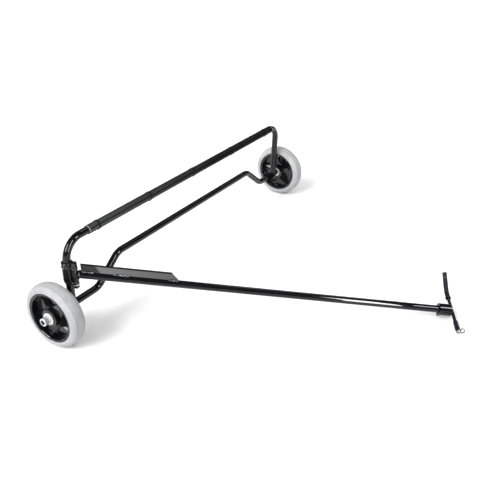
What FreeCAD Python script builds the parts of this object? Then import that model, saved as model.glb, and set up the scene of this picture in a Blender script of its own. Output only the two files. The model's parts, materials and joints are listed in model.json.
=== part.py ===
import FreeCAD, Part
import math
import os
import Sketcher

# Two-wheeled transport trolley.  Units are millimetres, +Z is up and the floor is Z = 0.
# X runs along the axle, from the near wheel (-X) to the far wheel (+X).
# The drawbar leaves the hinge on the near leg and reaches out to -Y.

DIMENSIONS = [
    ("wheel_radius", 100.0, "outside radius of the tyre"),
    ("tyre_half_width", 27.0, "half width of the tyre"),
    ("tyre_seat_radius", 74.0, "radius where the tyre sits on the rim"),
    ("tyre_lip_radius", 78.0, "inner edge of the tyre's side wall"),
    ("rim_half_width", 24.3, "half width of the rim"),
    ("rim_inner_radius", 69.5, "inside radius of the rim's ring"),
    ("web_half_width", 4.0, "half thickness of the closed web"),
    ("arm_crest", 17.0, "height of a star arm's crest at the boss"),
    ("arm_shoulder", 7.0, "height of a star arm's shoulders"),
    ("arm_root_half", 20.0, "half width of a star arm at the boss"),
    ("arm_tip_half", 5.5, "half width of a star arm at the rim"),
    ("boss_radius", 27.0, "outside radius of the hub boss"),
    ("bearing_radius", 17.5, "outside radius of a bearing"),
    ("bearing_bore", 8.5, "bore radius of a bearing"),
    ("bearing_width", 10.0, "width of a bearing"),
    ("bearing_outer_face", 25.0, "bearing's outer face from the wheel's middle"),
    ("hub_core_radius", 14.0, "bore radius of the hub between the bearings"),
    ("bush_radius", 8.45, "running radius of the bushes"),
    ("screw_radius", 8.0, "shank radius of the axle screw"),
    ("track_half", 635.0, "wheel's middle plane from the trolley's middle"),
    ("axle_y", 440.1, "axle line from the origin"),
    ("bar_radius", 11.0, "outside radius of the axle bar"),
    ("bar_bore", 9.0, "inside radius of the axle bar"),
    ("bar_end", 605.4, "end of the axle bar's stub"),
    ("near_low_bend", 460.0, "corner where the near stub turns up"),
    ("near_high_bend", 363.0, "near end of the bar's raised middle"),
    ("far_low_bend", 477.0, "corner where the far stub turns up"),
    ("far_high_bend", 380.0, "far end of the bar's raised middle"),
    ("bar_height", 176.0, "height of the middle of the axle bar"),
    ("bar_bend_radius", 52.0, "bend radius of the axle bar"),
    ("frame_radius", 11.5, "outside radius of the upper frame tube"),
    ("frame_bore", 9.5, "inside radius of the upper frame tube"),
    ("near_leg_x", 568.0, "near leg from the trolley's middle"),
    ("far_leg_foot", 581.0, "foot of the far leg"),
    ("far_leg_top", 600.0, "corner above the far leg"),
    ("frame_height", 300.0, "height of the upper frame tube"),
    ("near_bend_radius", 60.0, "bend radius above the near leg"),
    ("far_bend_radius", 42.0, "bend radius above the far leg"),
    ("sleeve_radius", 14.0, "outside radius of the split sleeve"),
    ("sleeve_near_end", 477.0, "near end of the split sleeve"),
    ("sleeve_length", 1030.0, "length of the split sleeve"),
    ("tie_radius", 15.4, "outside radius of a cable tie"),
    ("tie_width", 5.0, "width of a cable tie's band"),
    ("tie_lock_height", 4.0, "height of a cable tie's lock"),
    ("hinge_reach", 27.0, "hinge axis in front of the near leg"),
    ("hinge_sleeve_radius", 16.5, "outside radius of the hinge sleeve"),
    ("lower_ear_height", 176.0, "underside of the lower hinge ear"),
    ("ear_thickness", 6.0, "thickness of a hinge ear"),
    ("upper_ear_height", 226.0, "underside of the upper hinge ear"),
    ("slip_gap", 0.1, "radial gap of a sleeve slipped over the frame tube"),
    ("collar_radius", 17.0, "outside radius of the shaft collar"),
    ("collar_height", 8.0, "height of the shaft collar"),
    ("pin_radius", 5.0, "radius of the hinge pin"),
    ("pin_head_height", 13.0, "height of the hinge pin's head"),
    ("barrel_radius", 9.0, "outside radius of the hinge barrel"),
    ("drawbar_radius", 11.0, "outside radius of the drawbar tube"),
    ("drawbar_bore", 9.0, "inside radius of the drawbar tube"),
    ("drawbar_length", 1120.2, "hinge axis to the drawbar's end"),
    ("drawbar_height", 208.0, "height of the drawbar's line at the hinge"),
    ("drawbar_yaw", -53.5, "drawbar's direction in plan, from +X"),
    ("drawbar_tilt", 9.25, "drawbar's fall towards its end"),
    ("fin_length", 292.0, "far foot of the fin plate"),
    ("fin_height", 24.0, "height of the fin plate above the drawbar"),
    ("fin_thickness", 4.0, "thickness of the fin plate"),
    ("hub_radius", 18.4, "outside radius of the handle's hub"),
    ("hub_length", 39.8, "length of the handle's hub"),
    ("crossbar_radius", 5.0, "radius of the handle's crossbar"),
    ("crossbar_roll", 14.6, "slope of the crossbar"),
    ("crossbar_turn", 88.7, "crossbar's turn from the drawbar's line"),
    ("crossbar_start", -77.0, "low end of the crossbar from the drawbar's line"),
    ("bend_roll", -15.0, "roll of the raised end about the crossbar's line"),
    ("flange_start", 49.2, "start of the upper grip's flange"),
    ("grip_radius", 7.2, "outside radius of a grip"),
    ("eye_radius", 6.5, "radius of the zinc end ball"),
    ("ring_radius", 5.9, "mean radius of the pull ring"),
    ("ring_wire", 1.2, "wire radius of the pull ring"),
    ("lug_turn", 47.0, "turn of the ring's lug about its own reach"),
]


class Size:
    """A length that keeps both its value and the sheet expression it comes from."""

    def __init__(self, value, text):
        self.value = float(value)
        self.text = text

    def __add__(self, other):
        other = as_size(other)
        return Size(self.value + other.value, f"({self.text} + {other.text})")

    def __sub__(self, other):
        other = as_size(other)
        return Size(self.value - other.value, f"({self.text} - {other.text})")

    def __mul__(self, factor):
        return Size(self.value * factor, f"({self.text} * {factor})")

    def __neg__(self):
        return Size(-self.value, f"(0 - {self.text})")


def as_size(number):
    if isinstance(number, Size):
        return number
    return Size(number, f"{number}" if number >= 0 else f"(0 - {-number})")


doc = FreeCAD.newDocument("TransportTrolley")
sheet = doc.addObject("Spreadsheet::Sheet", "Sizes")
dim = {}
for row, (alias, value, note) in enumerate(DIMENSIONS, start=1):
    sheet.set(f"A{row}", note)
    sheet.set(f"B{row}", str(value))
    sheet.setAlias(f"B{row}", alias)
    dim[alias] = Size(value, f"Sizes.{alias}")
doc.recompute()

UP = FreeCAD.Vector(0, 0, 1)
ACROSS = FreeCAD.Vector(0, 1, 0)
ALONG = FreeCAD.Vector(1, 0, 0)
parts = []


# ---- sketches ------------------------------------------------------------------------

def new_body(label):
    body = doc.addObject("PartDesign::Body", label)
    body.Label = label
    parts.append(body)
    return body


def new_sketch(body, role, lift=0.0, turn=None):
    """Add a sketch on one of the body's origin planes, lifted along the plane's normal."""
    plane = [item for item in body.Origin.OriginFeatures if item.Role == role][0]
    sketch = body.newObject("Sketcher::SketchObject", body.Name + "_sketch")
    sketch.AttachmentSupport = [(plane, "")]
    sketch.MapMode = "FlatFace"
    lift = as_size(lift)
    turn = turn or FreeCAD.Rotation()
    sketch.AttachmentOffset = FreeCAD.Placement(FreeCAD.Vector(0, 0, lift.value), turn)
    sketch.setExpression("AttachmentOffset.Base.z", lift.text)
    return sketch


def bind(sketch, kind, *references, length):
    """Add a driven constraint whose value follows the sheet."""
    length = as_size(length)
    index = sketch.addConstraint(Sketcher.Constraint(kind, *references, length.value))
    name = f"size_{index}"
    sketch.renameConstraint(index, name)
    sketch.setExpression(f"Constraints.{name}", length.text)


def fix_point(sketch, geometry, position, x, y):
    bind(sketch, "DistanceX", -1, 1, geometry, position, length=x)
    bind(sketch, "DistanceY", -1, 1, geometry, position, length=y)


def add_circle(sketch, x, y, radius):
    x, y, radius = as_size(x), as_size(y), as_size(radius)
    centre = FreeCAD.Vector(x.value, y.value, 0)
    circle = sketch.addGeometry(Part.Circle(centre, FreeCAD.Vector(0, 0, 1), radius.value))
    fix_point(sketch, circle, 3, x, y)
    bind(sketch, "Radius", circle, length=radius)


def arc_between(start, end, radius):
    """Arc from start to end that bulges to the left; its own first point is `end`."""
    chord = end - start
    left = FreeCAD.Vector(-chord.y, chord.x, 0).normalize()
    depth = math.sqrt(radius ** 2 - (chord.Length / 2) ** 2)
    centre = (start + end) * 0.5 - left * depth
    angles = [math.atan2(point.y - centre.y, point.x - centre.x) for point in (end, start)]
    return Part.ArcOfCircle(Part.Circle(centre, UP, radius), *angles)


def add_outline(sketch, corners):
    """Closed outline.  A corner is (x, y), or (x, y, radius) where an arc reaches it."""
    corners = [tuple(as_size(number) for number in corner) for corner in corners]
    points = [FreeCAD.Vector(corner[0].value, corner[1].value, 0) for corner in corners]
    edges = []
    for number, corner in enumerate(corners):
        start, end = points[number - 1], points[number]
        if len(corner) == 3:
            edges.append((sketch.addGeometry(arc_between(start, end, corner[2].value)), 2, 1))
        else:
            edges.append((sketch.addGeometry(Part.LineSegment(start, end)), 1, 2))
    for number, corner in enumerate(corners):
        edge, _, last = edges[number]
        after, first, _ = edges[(number + 1) % len(edges)]
        sketch.addConstraint(Sketcher.Constraint("Coincident", edge, last, after, first))
        fix_point(sketch, edge, last, corner[0], corner[1])
        if len(corner) == 3:
            bind(sketch, "Radius", edge, length=corner[2])


def add_bent_path(sketch, corners, radii):
    """Open path of straight runs joined by tangent arcs, one radius for each inner corner."""
    corners = [(as_size(x), as_size(y)) for x, y in corners]
    radii = [as_size(radius) for radius in radii]
    points = [FreeCAD.Vector(x.value, y.value, 0) for x, y in corners]
    starts, ends = [points[0]], []
    for before, corner, after, radius in zip(points, points[1:], points[2:], radii):
        back = (before - corner).normalize()
        ahead = (after - corner).normalize()
        setback = radius.value / math.tan(back.getAngle(ahead) / 2)
        ends.append(corner + back * setback)
        starts.append(corner + ahead * setback)
    ends.append(points[-1])
    runs = [sketch.addGeometry(Part.LineSegment(a, b)) for a, b in zip(starts, ends)]
    fix_point(sketch, runs[0], 1, *corners[0])
    fix_point(sketch, runs[-1], 2, *corners[-1])
    for number in range(len(runs) - 1):
        mark = sketch.addGeometry(Part.Point(points[number + 1]), True)
        fix_point(sketch, mark, 1, *corners[number + 1])
        sketch.addConstraint(Sketcher.Constraint("PointOnObject", mark, 1, runs[number]))
        sketch.addConstraint(Sketcher.Constraint("PointOnObject", mark, 1, runs[number + 1]))
        end, start, radius = ends[number], starts[number + 1], radii[number]
        turn = (points[number + 1] - end).cross(start - points[number + 1]).z
        if turn < 0:
            arc, at_end = sketch.addGeometry(arc_between(end, start, radius.value)), 2
        else:
            arc, at_end = sketch.addGeometry(arc_between(start, end, radius.value)), 1
        sketch.addConstraint(Sketcher.Constraint("Tangent", runs[number], 2, arc, at_end))
        sketch.addConstraint(Sketcher.Constraint("Tangent", runs[number + 1], 1, arc, 3 - at_end))
        bind(sketch, "Radius", arc, length=radius)


# ---- features ------------------------------------------------------------------------

def pad(body, sketch, length, middle=False):
    feature = body.newObject("PartDesign::Pad", body.Name + "_pad")
    feature.Profile = sketch
    feature.Midplane = middle
    length = as_size(length)
    feature.Length = length.value
    feature.setExpression("Length", length.text)
    return feature


def pocket(body, sketch, length, middle=False, reverse=False):
    feature = body.newObject("PartDesign::Pocket", body.Name + "_pocket")
    feature.Profile = sketch
    feature.Midplane = middle
    feature.Reversed = reverse
    length = as_size(length)
    feature.Length = length.value
    feature.setExpression("Length", length.text)
    return feature


def turned(label, corners):
    """Body turned about its own Z axis; corners are (radius, height)."""
    body = new_body(label)
    sketch = new_sketch(body, "XZ_Plane")
    add_outline(sketch, corners)
    feature = body.newObject("PartDesign::Revolution", label + "_turn")
    feature.Profile = sketch
    feature.ReferenceAxis = (sketch, ["V_Axis"])
    feature.Angle = 360
    return body


def ring_corners(inner, outer, low, high):
    return [(inner, low), (outer, low), (outer, high), (inner, high)]


def rod_corners(radius, low, high, edge=0.6):
    radius = as_size(radius)
    low, high = as_size(low), as_size(high)
    return [(0, low), (radius - edge, low), (radius, low + edge),
            (radius, high - edge), (radius - edge, high), (0, high)]


def hexagon(across):
    """Corners of a hexagon that measures `across` from flat to flat."""
    reach = across / math.sqrt(3)
    return [(reach * math.cos(math.radians(60 * k)), reach * math.sin(math.radians(60 * k)))
            for k in range(6)]


def polar(body, features, count):
    pattern = body.newObject("PartDesign::PolarPattern", body.Name + "_pattern")
    pattern.Originals = features
    axis = [item for item in body.Origin.OriginFeatures if item.Role == "Z_Axis"][0]
    pattern.Axis = (axis, [""])
    pattern.Angle = 360
    pattern.Occurrences = count
    body.Tip = pattern
    return pattern


def pipe(body, profile, path):
    feature = body.newObject("PartDesign::AdditivePipe", body.Name + "_pipe")
    feature.Profile = profile
    feature.Spine = path
    return feature


def place(body, x, y, z, turn=None):
    """Put a body at x, y, z; the numbers stay bound to the sheet."""
    x, y, z = as_size(x), as_size(y), as_size(z)
    body.Placement = FreeCAD.Placement(
        FreeCAD.Vector(x.value, y.value, z.value), turn or FreeCAD.Rotation())
    for letter, length in (("x", x), ("y", y), ("z", z)):
        body.setExpression(f"Placement.Base.{letter}", length.text)


# ---- frame ---------------------------------------------------------------------------

def make_axle_bar():
    body = new_body("axle_bar")
    height, end = dim["wheel_radius"], dim["bar_end"]
    middle = dim["bar_height"]
    path = new_sketch(body, "XZ_Plane")
    corners = [(-end, height), (-dim["near_low_bend"], height), (-dim["near_high_bend"], middle),
               (dim["far_high_bend"], middle), (dim["far_low_bend"], height), (end, height)]
    add_bent_path(path, corners, [dim["bar_bend_radius"]] * 4)
    section = new_sketch(body, "YZ_Plane", lift=-end)
    add_circle(section, 0, height, dim["bar_radius"])
    add_circle(section, 0, height, dim["bar_bore"])
    pipe(body, section, path)
    place(body, 0, dim["axle_y"], 0)


def make_upper_frame_tube():
    body = new_body("upper_frame_tube")
    foot = dim["wheel_radius"] + 3
    path = new_sketch(body, "XZ_Plane")
    corners = [(-dim["near_leg_x"], foot), (-dim["near_leg_x"], dim["frame_height"]),
               (dim["far_leg_top"], dim["frame_height"]), (dim["far_leg_foot"], foot)]
    add_bent_path(path, corners, [dim["near_bend_radius"], dim["far_bend_radius"]])
    section = new_sketch(body, "XY_Plane", lift=foot)
    add_circle(section, -dim["near_leg_x"], 0, dim["frame_radius"])
    add_circle(section, -dim["near_leg_x"], 0, dim["frame_bore"])
    pipe(body, section, path)
    cope = new_sketch(body, "YZ_Plane")
    add_circle(cope, 0, dim["wheel_radius"], dim["bar_radius"])
    pocket(body, cope, dim["bar_end"] * 2, middle=True)
    place(body, 0, dim["axle_y"], 0)


def make_bar_sleeve():
    """Soft split sleeve clipped over the upper bar, with its slit underneath."""
    body = new_body("bar_sleeve")
    ring = new_sketch(body, "YZ_Plane")
    add_circle(ring, 0, 0, dim["sleeve_radius"])
    add_circle(ring, 0, 0, dim["frame_radius"] + dim["slip_gap"])
    pad(body, ring, dim["sleeve_length"])
    half_gap, spare = 1.2, 1.0
    slit = new_sketch(body, "XY_Plane", lift=-dim["sleeve_radius"] - spare)
    length = dim["sleeve_length"]
    add_outline(slit, [(-spare, -half_gap), (length + spare, -half_gap),
                       (length + spare, half_gap), (-spare, half_gap)])
    pocket(body, slit, dim["sleeve_radius"], reverse=True)
    place(body, -dim["sleeve_near_end"], dim["axle_y"], dim["frame_height"])


def make_cable_ties():
    """Five ties spaced evenly along the sleeve, each with its lock underneath."""
    first, last, count = -436.0, 506.0, 5
    lock_half, lock_width = 3.2, 6.5
    for number in range(count):
        body = new_body(f"cable_tie_{number + 1}")
        band = new_sketch(body, "YZ_Plane")
        add_circle(band, 0, 0, dim["tie_radius"])
        add_circle(band, 0, 0, dim["sleeve_radius"])
        pad(body, band, dim["tie_width"], middle=True)
        lock = new_sketch(body, "XZ_Plane")
        top = -dim["tie_radius"] + 0.7
        bottom = -dim["tie_radius"] - dim["tie_lock_height"]
        add_outline(lock, [(-lock_half, bottom), (lock_half, bottom), (lock_half, top), (-lock_half, top)])
        pad(body, lock, lock_width, middle=True)
        x = first + (last - first) * number / (count - 1)
        place(body, x, dim["axle_y"], dim["frame_height"])


# ---- wheels --------------------------------------------------------------------------

def wheel_place(body, side):
    """Stand a wheel piece on the axle line; its +Z points outwards on either side."""
    turn = FreeCAD.Rotation(ACROSS, 90 * side)
    place(body, dim["track_half"] * side, dim["axle_y"], dim["wheel_radius"], turn)


def make_tyre(name, side):
    half, lip, seat = dim["tyre_half_width"], dim["tyre_lip_radius"], dim["tyre_seat_radius"]
    rim, tread = dim["rim_half_width"], dim["wheel_radius"]
    crown, drop, rise, bevel = 14.0, 2.4, 5.0, 1.5
    side_arc, shoulder_arc, tread_arc = 14.0, 24.0, 42.0
    corners = [
        (seat, rim - bevel), (lip, rim), (lip + rise, half, side_arc),
        (tread - drop, crown, shoulder_arc), (tread - drop, -crown, tread_arc),
        (lip + rise, -half, shoulder_arc), (lip, -rim, side_arc), (seat, -rim + bevel),
    ]
    wheel_place(turned(name + "_tyre", corners), side)


def arm_section(body, reach, half, crest):
    """Six-cornered section of a star arm: two shoulders and a crest on either face."""
    shoulder = dim["arm_shoulder"]
    sketch = new_sketch(body, "YZ_Plane", lift=reach)
    add_outline(sketch, [(half, -shoulder), (half, shoulder), (0, crest),
                         (-half, shoulder), (-half, -shoulder), (0, -crest)])
    return sketch


def make_rim(name, side):
    """Closed-web rim with five star arms that fall from the boss towards the rim's ring."""
    seat, lip, half = dim["tyre_seat_radius"], dim["tyre_lip_radius"], dim["rim_half_width"]
    inner, web = dim["rim_inner_radius"], dim["web_half_width"]
    boss, face = dim["boss_radius"], dim["bearing_outer_face"]
    bearing, core = dim["bearing_radius"], dim["hub_core_radius"]
    shoulder = face - dim["bearing_width"]
    draft, edge, arms, crest_drop = 3.0, 1.5, 5, 2.5
    upper = [(bearing, face), (boss, face), (boss + draft, web), (inner - draft, web),
             (inner, half - edge), (inner + edge, half), (lip, half), (seat, half - edge)]
    lower = [(radius, -height) for radius, height in reversed(upper)]
    bore = [(bearing, -shoulder), (core, -shoulder), (core, shoulder), (bearing, shoulder)]
    body = turned(name + "_rim", upper + lower + bore)
    first_arm_angle = 29
    arm = body.newObject("PartDesign::AdditiveLoft", body.Name + "_arm")
    arm.Profile = arm_section(body, boss - draft, dim["arm_root_half"], dim["arm_crest"])
    arm.Sections = [arm_section(body, inner + edge, dim["arm_tip_half"], dim["arm_crest"] - crest_drop)]
    arm.Ruled = True
    polar(body, [arm], arms)
    first_arm = FreeCAD.Rotation(UP, first_arm_angle)
    turn = FreeCAD.Rotation(ACROSS, 90 * side).multiply(first_arm)
    place(body, dim["track_half"] * side, dim["axle_y"], dim["wheel_radius"], turn)


def make_bearing(name, side, end):
    """Shielded ball bearing; end is +1 for the outer seat and -1 for the inner seat."""
    outer, bore = dim["bearing_radius"], dim["bearing_bore"]
    half = dim["bearing_width"] * 0.5
    recess, inner_race, outer_race = 0.8, 2.2, 2.4
    shield = half - recess
    race_in, race_out = bore + inner_race, outer - outer_race
    corners = [(bore, -half), (race_in, -half), (race_in, -shield), (race_out, -shield),
               (race_out, -half), (outer, -half), (outer, half), (race_out, half),
               (race_out, shield), (race_in, shield), (race_in, half), (bore, half)]
    seat = "outer" if end > 0 else "inner"
    body = turned(f"{name}_{seat}_bearing", corners)
    turn = FreeCAD.Rotation(ACROSS, 90 * side)
    middle = (dim["bearing_outer_face"] - half) * end
    place(body, (dim["track_half"] + middle) * side, dim["axle_y"], dim["wheel_radius"], turn)


def make_bushes(name, side):
    """Spacer between the bearings, flanged bush outside and flanged bush inside."""
    shank, run = dim["screw_radius"], dim["bush_radius"]
    face, width = dim["bearing_outer_face"], dim["bearing_width"]
    gap, end_gap, spacer_radius = 0.3, 0.1, 10.5
    inner_end = face - width
    spacer = ring_corners(shank, spacer_radius, -inner_end + gap, inner_end - gap)
    wheel_place(turned(name + "_bearing_spacer", spacer), side)
    start = inner_end + end_gap
    flange = face + gap
    flange_radius, flange_thickness, edge = 18.0, 3.2, 0.5
    neck_radius, neck_end, neck_fillet, taper = 14.0, 8.0, 1.0, 0.5
    outside = [
        (shank, start), (run, start), (run, flange), (flange_radius - edge, flange),
        (flange_radius, flange + edge), (flange_radius, flange + flange_thickness),
        (neck_radius + taper, flange + flange_thickness + neck_fillet),
        (neck_radius, flange + neck_end), (shank, flange + neck_end),
    ]
    wheel_place(turned(name + "_flanged_bush", outside), side)
    inner_radius, inner_length = 15.0, 4.3
    inside = [
        (shank, -start), (run, -start), (run, -flange), (inner_radius, -flange),
        (inner_radius, -flange - inner_length), (shank, -flange - inner_length),
    ]
    wheel_place(turned(name + "_inner_bush", inside), side)


def make_axle_screw(name, side):
    bush_length, grip_length = 8.3, 40.0
    seat = dim["bearing_outer_face"] + bush_length
    tip = -dim["bearing_outer_face"] - grip_length
    shank, head, head_height = dim["screw_radius"], 12.0, 16.0
    point, edge = 1.2, 1.0
    body = turned(name + "_axle_screw", [
        (0, tip), (shank - point, tip), (shank, tip + point), (shank, seat),
        (head, seat), (head, seat + head_height - edge), (head - edge, seat + head_height),
        (0, seat + head_height)])
    socket_width, socket_depth = 14.0, 8.0
    socket = new_sketch(body, "XY_Plane", lift=seat + head_height)
    add_outline(socket, hexagon(socket_width))
    pocket(body, socket, socket_depth)
    wheel_place(body, side)


def make_axle_plug(name, side):
    """Threaded plug welded inside the end of the axle bar."""
    plug_length = 42.0
    outer_end = dim["track_half"] - dim["bar_end"]
    corners = ring_corners(dim["screw_radius"], dim["bar_bore"], -outer_end - plug_length, -outer_end)
    wheel_place(turned(name + "_axle_plug", corners), side)


def make_wheel(name, side):
    make_tyre(name, side)
    make_rim(name, side)
    make_bearing(name, side, 1)
    make_bearing(name, side, -1)
    make_bushes(name, side)
    make_axle_screw(name, side)
    make_axle_plug(name, side)


# ---- hinge on the near leg -----------------------------------------------------------

def leg_place(body, height, reach=0.0):
    place(body, -dim["near_leg_x"], dim["axle_y"] - reach, height)


def make_ear(label, height):
    """Flat ear round the leg with a lobe for the hinge pin."""
    body = new_body(label)
    sketch = new_sketch(body, "XY_Plane")
    lobe, reach, around = 10.5, dim["hinge_reach"], dim["hinge_sleeve_radius"]
    slack = 0.2
    add_outline(sketch, [(-lobe, -reach, lobe + slack), (-around, 0),
                         (around, 0, around + slack), (lobe, -reach)])
    pad(body, sketch, dim["ear_thickness"])
    holes = new_sketch(body, "XY_Plane")
    add_circle(holes, 0, 0, dim["frame_radius"] + dim["slip_gap"])
    add_circle(holes, 0, -reach, dim["pin_radius"])
    pocket(body, holes, dim["ear_thickness"] * 3, middle=True)
    leg_place(body, height)


def make_hex(label, across, low, high, bore):
    """Hexagonal nut or bolt head, hollow where bore is given."""
    body = new_body(label)
    sketch = new_sketch(body, "XY_Plane", lift=low)
    add_outline(sketch, hexagon(across))
    if bore is not None:
        add_circle(sketch, 0, 0, bore)
    pad(body, sketch, as_size(high) - low)
    return body


def make_collar():
    """Shaft collar that closes the top of the hinge, with its grub screw."""
    low = dim["upper_ear_height"] + dim["ear_thickness"]
    height, outer = dim["collar_height"], dim["collar_radius"]
    inner = dim["frame_radius"] + dim["slip_gap"]
    edge, thread, stick_out = 1.0, 2.5, 0.6
    collar = turned("leg_collar", [(inner, 0), (outer, 0), (outer, height - edge),
                                   (outer - edge, height), (inner, height)])
    hole = new_sketch(collar, "YZ_Plane")
    add_circle(hole, 0, height * 0.5, thread)
    pocket(collar, hole, outer + stick_out)
    leg_place(collar, low)
    screw = turned("collar_screw", rod_corners(thread, inner + 0.1, outer + stick_out, 0.3))
    socket = new_sketch(screw, "XY_Plane", lift=outer + stick_out)
    socket_width = 2.5
    add_outline(socket, hexagon(socket_width))
    pocket(screw, socket, socket_width)
    place(screw, -dim["near_leg_x"], dim["axle_y"], low + height * 0.5, FreeCAD.Rotation(ACROSS, -90))


def make_hinge():
    reach, pin = dim["hinge_reach"], dim["pin_radius"]
    low, thick = dim["lower_ear_height"], dim["ear_thickness"]
    high = dim["upper_ear_height"]
    bottom = low + thick
    top = high + thick
    inner, outer = dim["frame_radius"] + dim["slip_gap"], dim["hinge_sleeve_radius"]
    sleeve = turned("hinge_sleeve", ring_corners(inner, outer, 0, high - bottom))
    leg_place(sleeve, bottom)
    make_ear("lower_hinge_ear", low)
    make_ear("upper_hinge_ear", high)
    make_collar()
    across, below = 16.0, 14.0
    bolt = make_hex("hinge_pin", across, top, top + dim["pin_head_height"], None)
    shank = new_sketch(bolt, "XY_Plane", lift=low - below)
    add_circle(shank, 0, 0, pin)
    pad(bolt, shank, top - low + below)
    leg_place(bolt, 0, reach)
    washer, washer_radius, nut_height = 1.6, 10.0, 9.5
    leg_place(turned("hinge_washer", ring_corners(pin, washer_radius, -washer, 0)), low, reach)
    nut = make_hex("hinge_nut", across, low - washer - nut_height, low - washer, pin)
    leg_place(nut, 0, reach)
    thrust, thrust_radius, gap, running = 1.5, 9.5, 0.1, 0.06
    lower_thrust = ring_corners(pin + gap, thrust_radius, 0, thrust)
    leg_place(turned("lower_thrust_washer", lower_thrust), bottom, reach)
    upper_thrust = ring_corners(pin + gap, thrust_radius, -thrust, 0)
    leg_place(turned("upper_thrust_washer", upper_thrust), high, reach)
    barrel = ring_corners(pin + running, dim["barrel_radius"],
                          thrust + gap, high - bottom - thrust - gap)
    leg_place(turned("hinge_barrel", barrel), bottom, reach)


# ---- drawbar -------------------------------------------------------------------------

def drawbar_frame():
    """Frame of the drawbar's line: origin on the hinge axis, X along the tube."""
    corner = FreeCAD.Vector(-dim["near_leg_x"].value, dim["axle_y"].value - dim["hinge_reach"].value,
                            dim["drawbar_height"].value)
    yaw = FreeCAD.Rotation(UP, dim["drawbar_yaw"].value)
    tilt = FreeCAD.Rotation(ACROSS, dim["drawbar_tilt"].value)
    return FreeCAD.Placement(corner, yaw.multiply(tilt))


def crossbar_frame():
    """Frame of the crossbar: X along the bar, Y back towards the hinge."""
    weld_gap = 0.2
    reach = dim["drawbar_length"].value + dim["crossbar_radius"].value + weld_gap
    roll = FreeCAD.Rotation(ALONG, dim["crossbar_roll"].value)
    turn = roll.multiply(FreeCAD.Rotation(UP, dim["crossbar_turn"].value))
    return drawbar_frame().multiply(FreeCAD.Placement(FreeCAD.Vector(reach, 0, 0), turn))


def bend_frame():
    """The crossbar's frame, rolled so that its XZ plane holds the raised end."""
    roll = FreeCAD.Rotation(ALONG, dim["bend_roll"].value)
    return crossbar_frame().multiply(FreeCAD.Placement(FreeCAD.Vector(), roll))


def put(body, frame, x=0.0, y=0.0, z=0.0, turn=None):
    local = FreeCAD.Placement(FreeCAD.Vector(x, y, z), turn or FreeCAD.Rotation())
    body.Placement = frame.multiply(local)


TO_X = FreeCAD.Rotation(ACROSS, 90)


def make_drawbar_tube():
    body = new_body("drawbar_tube")
    start, wall_end = 6.0, 4.0
    section = new_sketch(body, "YZ_Plane", lift=start)
    add_circle(section, 0, 0, dim["drawbar_radius"])
    add_circle(section, 0, 0, dim["drawbar_bore"])
    pad(body, section, dim["drawbar_length"] - start - wall_end)
    upright = FreeCAD.Rotation(ACROSS, -dim["drawbar_tilt"].value)
    cope = new_sketch(body, "XY_Plane", turn=upright)
    add_circle(cope, 0, 0, dim["barrel_radius"])
    pocket(body, cope, 60, middle=True)
    put(body, drawbar_frame())


def make_fin():
    """Stiffening plate welded on edge along the top of the drawbar."""
    foot, top = dim["drawbar_radius"], dim["drawbar_radius"] + dim["fin_height"]
    start, lean = 16.5, 3.9
    far = dim["fin_length"]
    body = new_body("fin_plate")
    sketch = new_sketch(body, "XZ_Plane")
    add_outline(sketch, [(start, foot), (far, foot), (far - dim["fin_height"], top), (start - lean, top)])
    pad(body, sketch, dim["fin_thickness"], middle=True)
    put(body, drawbar_frame())
    side = dim["fin_thickness"] * 0.5
    bead_height, bead_reach, bite, tube_fall = 3.2, 3.2, 0.05, 1.1
    for number, (first, last) in enumerate([(18, 50), (108, 150), (262, 290)], start=1):
        bead = new_body(f"fin_weld_{number}")
        bead.AllowCompound = True
        section = new_sketch(bead, "YZ_Plane", lift=first)
        for mirror in (1, -1):
            add_outline(section, [(side * mirror, foot - bite), (side * mirror, foot + bead_height),
                                  ((side + bead_reach) * mirror, foot - tube_fall)])
        pad(bead, section, last - first)
        put(bead, drawbar_frame())


def make_handle_hub():
    tube, outer, length = dim["drawbar_radius"], dim["hub_radius"], dim["hub_length"]
    cap, edge = 4.0, 1.0
    hub = turned("handle_hub", [(tube, 0), (outer - edge, 0), (outer, edge), (outer, length - edge),
                                (outer - edge, length), (0, length), (0, length - cap),
                                (tube, length - cap)])
    hole = new_sketch(hub, "YZ_Plane")
    screw_at, screw, sunk = 12.0, 4.0, 2.4
    add_circle(hole, 0, screw_at, screw)
    pocket(hub, hole, outer + edge)
    start = (dim["drawbar_length"] - length).value
    put(hub, drawbar_frame(), x=start, turn=TO_X)
    grub = turned("hub_screw", rod_corners(screw, tube + 0.1, outer - sunk, 0.4))
    socket = new_sketch(grub, "XY_Plane", lift=outer - sunk)
    socket_width, socket_depth = 4.0, 3.0
    add_outline(socket, hexagon(socket_width))
    pocket(grub, socket, socket_depth)
    put(grub, drawbar_frame(), x=start + screw_at)
    stud_at, stud_radius, stud_height, rounding = 5.5, 4.5, 3.6, 0.8
    stud = turned("hub_stud", rod_corners(stud_radius, outer, outer + stud_height, rounding))
    put(stud, drawbar_frame(), x=start + stud_at, turn=FreeCAD.Rotation(ALONG, 180))


# The crossbar's corner and its raised end, in the plane of its bend.
BEND = (78.0, 0.0)
BAR_END = (122.8, 41.4)
BAR_BEND_RADIUS = 50.0


def bent_rod(label, start, outer, inner, overshoot=0.0):
    """Rod or hose along the crossbar's line, from start to the raised end."""
    body = new_body(label)
    run = math.hypot(BAR_END[0] - BEND[0], BAR_END[1] - BEND[1])
    stretch = (run + overshoot) / run
    end = (BEND[0] + (BAR_END[0] - BEND[0]) * stretch, BAR_END[1] * stretch)
    path = new_sketch(body, "XZ_Plane")
    add_bent_path(path, [(start, 0), BEND, end], [BAR_BEND_RADIUS])
    section = new_sketch(body, "YZ_Plane", lift=start)
    add_circle(section, 0, 0, outer)
    if inner is not None:
        add_circle(section, 0, 0, inner)
    pipe(body, section, path)
    put(body, bend_frame())


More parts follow.
